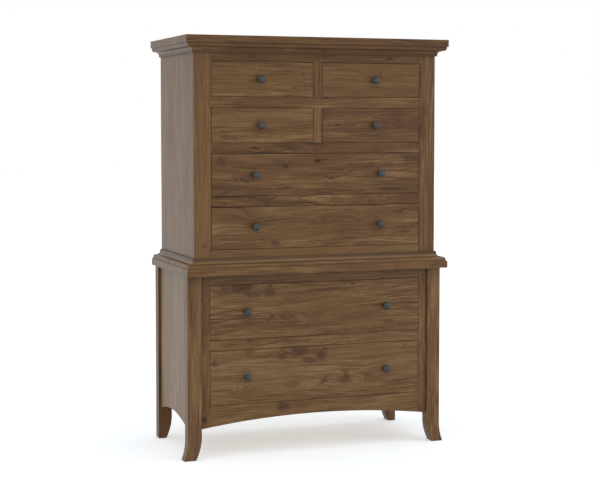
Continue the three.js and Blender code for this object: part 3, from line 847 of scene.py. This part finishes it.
# %% [markdown]
# ## Sawing a solid into its members
# A moulding and a drawer frame are each one solid in the model, but the real ones are several
# lengths of wood, and the grain turns at every joint. So a copy of the solid is sawn with planes,
# each cut is closed with a new face, and every member is finished as a board of its own. The cut
# stands a hair inside the member, so that no face lies exactly in the plane of the saw.

# %% Saw
KERF = 0.02 * MM


def saw_cuts(axis, low=None, high=None):
    """Cuts that keep what lies between two places on an axis."""
    way = Vector([float(letter == axis) for letter in "xyz"])
    cuts = []
    if low is not None:
        cuts.append((way * (low + KERF), -way))
    if high is not None:
        cuts.append((way * (high - KERF), way))
    return cuts


def sawn(node, cuts):
    """A copy of a solid without what lies beyond each cut, which is a point and the way the cut faces."""
    bm = merged_copy(node)
    for point, facing in cuts:
        bmesh.ops.bisect_plane(
            bm, geom=bm.verts[:] + bm.edges[:] + bm.faces[:], dist=ON_PLANE,
            plane_co=point, plane_no=facing, clear_outer=True,
        )
        rim = [e for e in bm.edges if e.is_boundary]
        bmesh.ops.triangle_fill(bm, edges=rim, use_beauty=True, use_dissolve=True)
    bmesh.ops.recalc_face_normals(bm, faces=bm.faces)
    bmesh.ops.dissolve_limit(bm, angle_limit=FLAT_ANGLE, verts=bm.verts, edges=bm.edges)
    return bm


# %% [markdown]
# ### Mouldings
# A moulding is planed as one long stick and cut into three lengths, which meet in mitres at the
# front corners. A section drawn along a path could make it anew, but the solid already has the true
# section and length, so it is only sawn. The fillet next to the case gets painted shade, which fades
# out just past it, and the seam with the board is a dark line.

# %% Mouldings in three lengths, mitred at the corners
case_left_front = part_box("upper_stile_left")[0]
case_right_front = Vector((-case_left_front.x, case_left_front.y, 0))
FILLET_REACH = 7 * MM
FILLET_SHADE_FADE = 2.5 * MM
SEAM_REACH = 1.5 * MM


def paint_fillet_shade_and_seam(mesh, outwards, seam):
    """Paints shade in the fillet along the case, fading out just past it, and a dark line at the seam."""
    fillet_shade_and_seam = mesh.attributes.new("fillet_shade_and_seam", "FLOAT", "POINT")
    for vertex, mark in zip(mesh.vertices, fillet_shade_and_seam.data):
        reach = abs(vertex.co[outwards]) - abs(case_left_front[outwards])
        mark.value = min(1.0, max(0.0, 1.0 - (reach - FILLET_REACH) / FILLET_SHADE_FADE))
        if abs(vertex.co.z - seam) < SEAM_REACH:
            mark.value = 1.0


# How strongly the quirks of a moulding keep stain and get painted shade.
MOULDING_QUIRK_STAIN_AND_SHADE = 2.0
for node, seam in (
    ("cornice_moulding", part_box("cornice_moulding")[1].z),
    ("waist_moulding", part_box("waist_moulding")[0].z),
):
    for part, grain, cuts in (
        ("front", "xyz", [(case_left_front, (-1, 1, 0)), (case_right_front, (1, 1, 0))]),
        ("left", "yxz", [(case_left_front, (1, -1, 0))]),
        ("right", "yxz", [(case_right_front, (-1, -1, 0))]),
    ):
        length = stained(sawn(node, cuts), node, part, grain, THIN_EASE, MOULDING_QUIRK_STAIN_AND_SHADE)
        paint_fillet_shade_and_seam(length.data, AXES[grain[1]], seam)

# %% [markdown]
# ### Drawer frames
# Under each row of drawers lies a frame: a rail of the show wood in front, and behind it runners
# from front to back, cross members between them and a thin panel against dust. With a drawer open,
# the joints between them show, so the frame is sawn into members too. The frames over the top rows
# and at the bottom of each case have no rail of their own.

# %% Drawer frames in their members
RAIL_THICKNESS = 22 * MM
RUNNER_WIDTH = 86 * MM
CROSS_MEMBER = 60 * MM
CENTRE_HALF = 55 * MM


def frame_members(node, with_rail, with_centre):
    """Saws one frame into its rail, runners, cross members and panels, and says how many there are."""
    low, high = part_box(node)
    front = low.y
    if with_rail:
        front = low.y + RAIL_THICKNESS
        stained(sawn(node, saw_cuts("y", high=front)), node, "rail", "xzy", RAIL_EASE)
    side = high.x - RUNNER_WIDTH
    near, far = front + CROSS_MEMBER, high.y - CROSS_MEMBER
    members = {
        "runner_left": ("yxz", saw_cuts("x", high=-side) + saw_cuts("y", low=front)),
        "runner_right": ("yxz", saw_cuts("x", low=side) + saw_cuts("y", low=front)),
        "front_member": ("xyz", saw_cuts("x", -side, side) + saw_cuts("y", front, near)),
        "back_member": ("xyz", saw_cuts("x", -side, side) + saw_cuts("y", low=far)),
    }
    between = saw_cuts("y", near, far)
    if with_centre:
        members["centre_member"] = ("yxz", saw_cuts("x", -CENTRE_HALF, CENTRE_HALF) + between)
        members["panel_left"] = ("xyz", saw_cuts("x", -side, -CENTRE_HALF) + between)
        members["panel_right"] = ("xyz", saw_cuts("x", CENTRE_HALF, side) + between)
    else:
        members["panel"] = ("xyz", saw_cuts("x", -side, side) + between)
    for part, (grain, cuts) in members.items():
        inside(sawn(node, cuts), node, part, grain)
    return len(members) + with_rail


count = 0
for row in (1, 2, 3, 5):
    count += frame_members(f"drawer_frame_row_{row}", with_rail=True, with_centre=row in (1, 2))
for node in ("upper_kicker_frame", "upper_bottom_frame", "lower_kicker_frame", "lower_bottom_frame"):
    count += frame_members(node, with_rail=False, with_centre=False)
print("frame members:", count)

# %% [markdown]
# ## Turned metal
# Knobs and screws are round about one axis. A ball and a tube pushed together would leave a hard
# seam where they meet, so each is half a section instead, turned once round as on a lathe. Points
# of a section are a radius and a reach in millimetres, and the reach runs out from the wood.

# %% Spin a section
POLE_REACH = 0.002 * MM


def spun_into(bm, section, centre, facing, steps):
    """Turns a section once round its axis, and closes it where it meets the axis."""
    start = len(bm.verts)
    outwards = Vector(facing)
    across = Vector((1, 0, 0))
    points = []
    for radius, reach in section:
        points.append(bm.verts.new(centre + across * radius * MM + outwards * reach * MM))
    lines = [bm.edges.new(pair) for pair in zip(points, points[1:])]
    bmesh.ops.spin(
        bm, geom=points + lines, cent=centre, axis=facing, angle=math.tau, steps=steps, use_merge=True,
    )
    bmesh.ops.remove_doubles(bm, verts=bm.verts[start:], dist=POLE_REACH)


def arc_points(centre, radii, start_degrees, end_degrees, count):
    """Points on part of an ellipse, for the rounded parts of a section."""
    step = (end_degrees - start_degrees) / count
    angles = [math.radians(start_degrees + step * k) for k in range(count + 1)]
    return [(centre[0] + radii[0] * math.sin(a), centre[1] + radii[1] * math.cos(a)) for a in angles]


# %% [markdown]
# ## Drawers
# Each front is one board with level grain, hung on a box of pale maple. Five plain boards would do
# from afar, but the corner of an open drawer is where one looks for the joint. So the box is
# dovetailed as a cabinet maker does it: the sides end in fan-shaped tails, and the lining behind the
# front and the back board have the pins between them. The side is an outline with its tails, drawn
# once and given its thickness. The pin board starts as a strip of faces, pin and socket by turns,
# which is drawn out to the board's length before the pins are drawn out further at both ends.

# %% Dovetails
BOX_WALL = 14 * MM
PIN_WIDTH = 9 * MM
TAIL_PITCH = 42 * MM
# A joiner's dovetail slopes one in seven.
FLARE = BOX_WALL / 7


def tail_heights(low, high):
    """The lower and upper height of each tail at the end of a side, with half pins outermost."""
    count = max(2, round((high - low) / TAIL_PITCH))
    tail = (high - low) / count - PIN_WIDTH
    first = low + PIN_WIDTH / 2
    return [(first + k * (tail + PIN_WIDTH), first + k * (tail + PIN_WIDTH) + tail) for k in range(count)]


def drawn_out(bm, faces, length):
    """Draws faces out to the right, and gives the new faces at the far end."""
    made = bmesh.ops.extrude_face_region(bm, geom=faces)["geom"]
    corners = [v for v in made if isinstance(v, bmesh.types.BMVert)]
    bmesh.ops.translate(bm, vec=(length, 0, 0), verts=corners)
    return [f for f in made if isinstance(f, bmesh.types.BMFace)]


def tail_board(x_low, front, back, low, high):
    """A drawer side: an outline with tails at both ends, drawn out to its thickness."""
    ends = []
    for tip, root in ((front, front + BOX_WALL), (back, back - BOX_WALL)):
        outline = [(root, low)]
        for foot, head in tail_heights(low, high):
            outline += [(root, foot + FLARE), (tip, foot), (tip, head), (root, head - FLARE)]
        ends.append(outline + [(root, high)])
    near, far = ends
    bm = bmesh.new()
    face = bm.faces.new([bm.verts.new((x_low, y, z)) for y, z in near + far[::-1]])
    drawn_out(bm, [face], BOX_WALL)
    bmesh.ops.recalc_face_normals(bm, faces=bm.faces)
    return bm


def pin_board(left, right, outer, inner, low, high):
    """A lining or back between two sides, with pins through both of them."""
    at_outer, at_inner = [low], [low]
    for foot, head in tail_heights(low, high):
        at_outer += [foot, head]
        at_inner += [foot + FLARE, head - FLARE]
    at_outer.append(high)
    at_inner.append(high)
    bm = bmesh.new()
    outlines = ((outer, at_outer), (inner, at_inner))
    rows = [[bm.verts.new((left, y, z)) for z in heights] for y, heights in outlines]
    strip = [bm.faces.new((a, b, d, c)) for a, b, c, d in zip(rows[0], rows[0][1:], rows[1], rows[1][1:])]
    other = sorted(drawn_out(bm, strip, right - left), key=lambda f: f.calc_center_median().z)
    pins = bmesh.ops.extrude_discrete_faces(bm, faces=strip[::2] + other[::2])["faces"]
    for face in pins:
        outwards = math.copysign(BOX_WALL, face.calc_center_median().x - (left + right) / 2)
        bmesh.ops.translate(bm, vec=(outwards, 0, 0), verts=face.verts[:])
    bmesh.ops.recalc_face_normals(bm, faces=bm.faces)
    return bm


def panel_between(low, high):
    """A flat panel from its lowest to its highest corner."""
    bm = bmesh.new()
    place = Matrix.Translation((low + high) / 2) @ Matrix.Diagonal((*(high - low), 1))
    bmesh.ops.create_cube(bm, size=1.0, matrix=place)
    return bm


# %% Drawer fronts and boxes
# The bottom's edges are let into grooves, a tongue's length deep in the boards round it.
FLOOR_LIFT = 12 * MM
FLOOR_THICKNESS = 6 * MM
FLOOR_TONGUE = 7 * MM
drawers = [body for body in frame["bodies"] if body.startswith("drawer_")]
for body in drawers:
    front, box = f"{body}_front", f"{body}_box"
    stained(merged_copy(front), front, "board", "xzy", FRONT_EASE, body=body)
    low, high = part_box(box)
    in_left, in_right = low.x + BOX_WALL, high.x - BOX_WALL
    in_front, in_back = low.y + BOX_WALL, high.y - BOX_WALL
    for part, x_low in (("side_left", low.x), ("side_right", in_right)):
        inside(tail_board(x_low, low.y, high.y, low.z, high.z), box, part, "yzx", body=body)
    for part, outer, inner in (("lining", low.y, in_front), ("back", high.y, in_back)):
        board = pin_board(in_left, in_right, outer, inner, low.z, high.z)
        inside(board, box, part, "xzy", body=body)
    reach = Vector((FLOOR_TONGUE, FLOOR_TONGUE, 0))
    floor_low = Vector((in_left, in_front, low.z + FLOOR_LIFT)) - reach
    floor_high = Vector((in_right, in_back, low.z + FLOOR_LIFT + FLOOR_THICKNESS)) + reach
    inside(panel_between(floor_low, floor_high), box, "bottom", "xyz", THIN_EASE, body)
    print(body, "has", len(tail_heights(low.z, high.z)), "tails at each corner")
print("drawers:", len(drawers))

# %% [markdown]
# ## Knobs
# The knobs are cast in zinc, plated with dark pewter and tumbled. To the eye that is a dark grey
# metal whose reflections are broad and soft, and a little uneven from the grit of the tumbling.
# The section runs from the crown of the dome over the rim, under the head, down the waisted neck
# and over the base. A screw from inside the drawer holds each one.

# %% Pewter plating
# Real grit marks are far finer, and are drawn about 1 mm wide so that they show in a close view.
GRIT_PER_METRE = 900.0
PEWTER_TONES = [(0.35, "#3C3E3D"), (0.65, "#4B4D4B")]
PEWTER_ROUGHNESS = 0.46
GRIT_ROUGHNESS = 0.2
PEWTER, tree = new_material("dark pewter plating on cast zinc")
place = add(tree, "TexCoord", take="Object")
grit = add(tree, "TexNoise", {"Vector": place, "Scale": GRIT_PER_METRE, "Detail": 3.0})
tint = fill_ramp(add(tree, "ValToRGB", {"Fac": grit}), PEWTER_TONES)
rough = {0: grit, 1: GRIT_ROUGHNESS, 2: PEWTER_ROUGHNESS}
rough = add(tree, "Math", rough, operation="MULTIPLY_ADD")
metal = add(tree, "BsdfPrincipled", {"Base Color": tint, "Metallic": 1.0, "Roughness": rough})
add(tree, "OutputMaterial", {"Surface": metal})
print("metal material:", PEWTER.name)

# %% Knobs and their screws
KNOB_REACH = 30
KNOB_STEPS = 40
KNOB_SECTION = (
    [(0, KNOB_REACH)] + arc_points((0, 22), (16, 8), 12, 84, 9)
    + [(16, 21.6), (16, 19.6), (15.6, 18.8), (14.6, 18.3)]
    + [(12.4, 17.4), (10.2, 15.6), (8.4, 13.2), (7.2, 10.2), (6.6, 7.2), (6.7, 5.0), (7.4, 3.6), (8.6, 2.8)]
    + [(9.5, 2.3), (10, 1.4), (10, 0.0), (0, 0.0)]
)
# The head lies on the lining, and the shank runs back through the front into the knob.
SCREW_SECTION = (
    [(0, 1.0), (1.4, 1.0), (1.5, 2.7), (1.9, 3.0), (3.2, 2.9), (4.4, 2.2), (4.9, 1.2), (5.0, 0.3)]
    + [(5.0, 0.0), (2.2, 0.0), (2.2, -34.0), (0, -34.0)]
)
for body in drawers:
    for node in [n for n in frame["nodes"] if n.startswith(body) and "knob" in n]:
        low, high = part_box(node)
        foot = Vector(((low.x + high.x) / 2, low.y + KNOB_REACH * MM, (low.z + high.z) / 2))
        lining_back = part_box(f"{body}_box")[0].y + BOX_WALL
        for part, section, place, facing in (
            ("turned", KNOB_SECTION, foot, (0, -1, 0)),
            ("screw", SCREW_SECTION, Vector((foot.x, lining_back, foot.z)), (0, 1, 0)),
        ):
            bm = bmesh.new()
            spun_into(bm, section, place, facing, KNOB_STEPS)
            bmesh.ops.recalc_face_normals(bm, faces=bm.faces)
            finish_piece(bm, f"{node}_{part}", PEWTER, body, node)

# %% [markdown]
# ## Backs
# The back of each case is a thin panel in a rebate. It is screwed on, so that it can come off when
# the chest is moved, with one screw every 150 mm or so along its edges. The screws of a panel never
# part, so one mesh holds them all, spun one after another.

# %% Back panels and their screws
BACK_SCREW = [(0, 0.5), (1.2, 0.5), (1.3, 1.3), (1.8, 1.5), (3.0, 1.1), (3.6, 0.4), (3.7, 0.0), (0, 0.0)]
SCREW_INSET = 14 * MM
SCREW_PITCH = 150 * MM
BACK_STRIP = 180 * MM
BACK_SCREW_STEPS = 12
for node in ("upper_back_panel", "lower_back_panel"):
    inside(merged_copy(node), node, "board", "zxy", THIN_EASE, strip_width=BACK_STRIP)
    low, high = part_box(node)
    spans = []
    for axis in (0, 2):
        start, end = low[axis] + SCREW_INSET, high[axis] - SCREW_INSET
        count = round((end - start) / SCREW_PITCH)
        spans.append([start + (end - start) * k / count for k in range(count + 1)])
    across, upwards = spans
    places = [(x, z) for x in across for z in (upwards[0], upwards[-1])]
    places += [(x, z) for x in (across[0], across[-1]) for z in upwards[1:-1]]
    bm = bmesh.new()
    for x, z in places:
        spun_into(bm, BACK_SCREW, Vector((x, high.y, z)), (0, 1, 0), BACK_SCREW_STEPS)
    bmesh.ops.recalc_face_normals(bm, faces=bm.faces)
    finish_piece(bm, f"{node}_screws", PEWTER, "case", node)
    print(node, "has", len(places), "screws")
